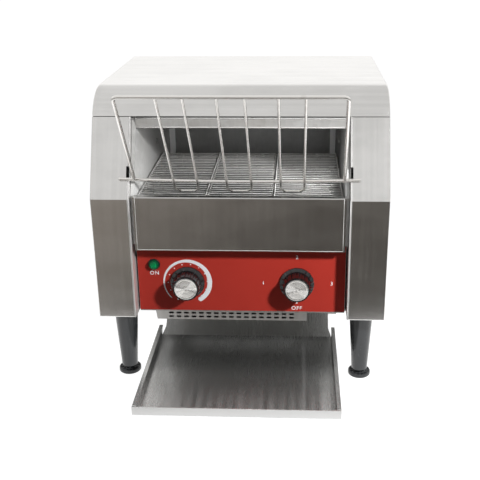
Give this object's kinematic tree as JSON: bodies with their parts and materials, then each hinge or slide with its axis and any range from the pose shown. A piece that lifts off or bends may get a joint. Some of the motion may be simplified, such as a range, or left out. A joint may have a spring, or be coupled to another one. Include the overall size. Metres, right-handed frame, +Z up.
{
  "type": "conveyor toaster",
  "caption": "Countertop conveyor toaster with a wire belt through an open-fronted heated tunnel, a slanted loading rack, a control panel and a receiving tray below.",
  "frame": {"origin": "on the table under the middle of the footprint", "axes": "+X to the right, +Y to the rear, +Z up; the front with the controls faces -Y"},
  "size_m": [0.368, 0.418, 0.4091],
  "materials": {
    "stainless": "brushed",
    "bright_wire": "polished",
    "galvanised": "dull",
    "red_overlay": "satin",
    "black_gloss": "gloss",
    "black_matte": "matte",
    "spun_cap": "spun",
    "green_lens": "gloss",
    "steel": "turned",
    "brass": "satin",
    "ceramic": "matte",
    "quartz": "clear",
    "coil": "dull",
    "motor": "matte",
    "board": "matte",
    "block": "matte",
    "leg_black": "gloss",
    "foot_rubber": "matte"
  },
  "bodies": {
    "machine": {"back_panel": "stainless", "back_screws": "steel", "base_plate": "stainless", "belt": "bright_wire", "bulkhead": "stainless", "cable_bushing": "black_matte", "control_board": "board", "control_panel": "stainless", "drive_chain": "steel", "fan_frame": "black_matte", "frame_screws": "steel", "front_panel": "stainless", "gear_motor": "motor", "heater_coils": "coil", "heater_end_caps": "ceramic", "hood": "stainless", "lamp_bezel": "black_gloss", "lamp_lens": "green_lens", "leg_front_left": "leg_black", "leg_front_right": "leg_black", "leg_rear_left": "leg_black", "leg_rear_right": "leg_black", "lower_reflector": "stainless", "panel_nuts": "steel", "panel_overlay": "red_overlay", "quartz_tubes": "quartz", "selector_switch": "black_matte", "shaft_bushes": "brass", "side_cover_left": "stainless", "side_cover_right": "stainless", "side_frame_left": "stainless", "side_frame_right": "stainless", "speed_potentiometer": "black_matte", "terminal_block": "block", "toast_slide": "stainless", "top_cover": "stainless", "tray_hanger": "stainless", "vent_pan": "galvanised"},
    "speed_dial": {"speed_knob": "black_gloss", "speed_knob_cap": "spun_cap", "speed_spindle": "steel"},
    "mode_dial": {"selector_knob": "black_gloss", "selector_knob_cap": "spun_cap", "selector_spindle": "steel"},
    "front_shaft": {"idler_shaft": "steel", "idler_sprockets": "steel"},
    "rear_shaft": {"drive_shaft": "steel", "drive_sprockets": "steel", "driven_sprocket": "steel"},
    "motor_output": {"motor_shaft": "steel", "motor_sprocket": "steel"},
    "fan_wheel": {"fan_rotor": "black_matte"},
    "tray_body": {"tray": "stainless"},
    "rack_body": {"loading_rack": "bright_wire"},
    "foot_body_front_left": {"foot_front_left": "foot_rubber"},
    "foot_body_front_right": {"foot_front_right": "foot_rubber"},
    "foot_body_rear_left": {"foot_rear_left": "foot_rubber"},
    "foot_body_rear_right": {"foot_rear_right": "foot_rubber"}
  },
  "joints": [
    {"name": "speed_dial_turn", "type": "hinge", "parent": "machine", "child": "speed_dial", "pos_m": [-0.0696, -0.088, 0.1412], "axis": [0, 1, 0], "range_deg": [0, 290]},
    {"name": "mode_dial_turn", "type": "hinge", "parent": "machine", "child": "mode_dial", "pos_m": [0.0717, -0.088, 0.1412], "axis": [0, 1, 0], "range_deg": [0, 270]},
    {"name": "drive_spin", "type": "hinge", "parent": "machine", "child": "rear_shaft", "pos_m": [0, 0.109, 0.2463], "axis": [1, 0, 0], "continuous": true, "deforming": ["belt", "drive_chain"]},
    {"name": "idler_spin", "type": "hinge", "parent": "machine", "child": "front_shaft", "pos_m": [0, -0.083, 0.2463], "axis": [1, 0, 0], "continuous": true},
    {"name": "motor_spin", "type": "hinge", "parent": "machine", "child": "motor_output", "pos_m": [0.1303, -0.012, 0.154], "axis": [1, 0, 0], "continuous": true},
    {"name": "fan_spin", "type": "hinge", "parent": "machine", "child": "fan_wheel", "pos_m": [-0.045, -0.029, 0.119], "axis": [0, 0, 1], "continuous": true},
    {"name": "tray_pull", "type": "slide", "parent": "machine", "child": "tray_body", "axis": [0, -1, -0.0052], "range_m": [0, 0.15]},
    {"name": "rack_lift_off", "type": "slide", "parent": "machine", "child": "rack_body", "axis": [0, -0.6338, 0.7735], "range_m": [0, 0.08]},
    {"name": "foot_screw_front_left", "type": "slide", "parent": "machine", "child": "foot_body_front_left", "axis": [0, 0, -1], "range_m": [0, 0.012]},
    {"name": "foot_screw_front_right", "type": "slide", "parent": "machine", "child": "foot_body_front_right", "axis": [0, 0, -1], "range_m": [0, 0.012]},
    {"name": "foot_screw_rear_left", "type": "slide", "parent": "machine", "child": "foot_body_rear_left", "axis": [0, 0, -1], "range_m": [0, 0.012]},
    {"name": "foot_screw_rear_right", "type": "slide", "parent": "machine", "child": "foot_body_rear_right", "axis": [0, 0, -1], "range_m": [0, 0.012]}
  ],
  "couplings": [
    {"joint": "idler_spin", "follows": "drive_spin", "ratio": 1},
    {"joint": "motor_spin", "follows": "drive_spin", "ratio": 1.4545}
  ]
}
